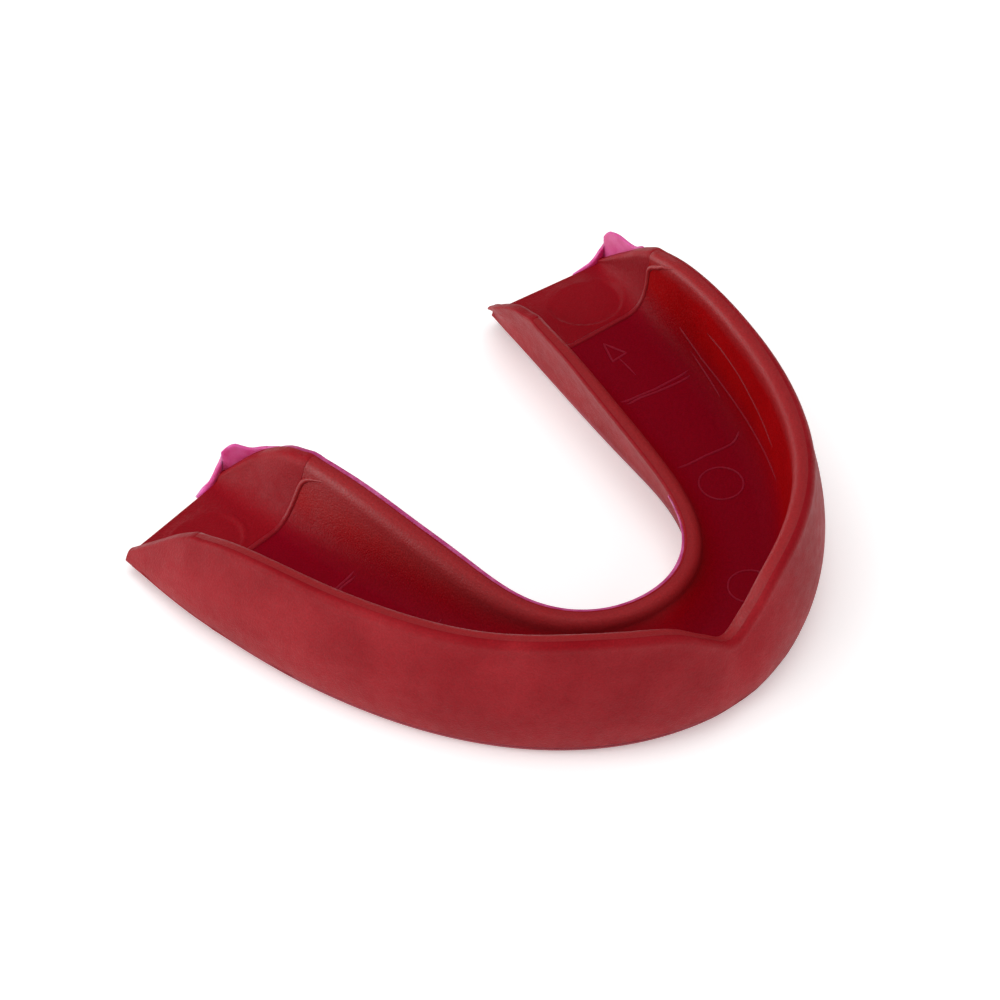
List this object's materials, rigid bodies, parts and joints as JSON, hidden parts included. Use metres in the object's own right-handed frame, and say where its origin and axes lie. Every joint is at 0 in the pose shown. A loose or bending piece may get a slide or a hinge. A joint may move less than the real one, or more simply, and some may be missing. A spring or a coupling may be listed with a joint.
{
  "type": "sports mouthguard",
  "caption": "Boil-and-bite sports mouthguard: red U-shaped channel with a lip notch, soft fit liner, shock layer and pink end fins",
  "frame": {"origin": "middle of the bounding box on the flat underside (biting side)", "axes": "+Z opens the tooth channel upward, -Y points to the front of the mouth (lip notch), the arms run to +Y, X is left to right"},
  "size_m": [0.0626, 0.0554, 0.0142],
  "materials": {
    "shell": "matte moulded EVA, fine grain",
    "liner": "smooth soft EVA, slightly glossy",
    "core": "soft pink EVA",
    "bead": "thin translucent pink EVA",
    "fin": "thin translucent pink EVA"
  },
  "bodies": {
    "root": {"outer_shell": "shell", "fit_liner": "liner", "impact_core": "core", "rim_bead": "bead", "end_fin_left": "fin", "end_fin_right": "fin"}
  },
  "joints": []
}
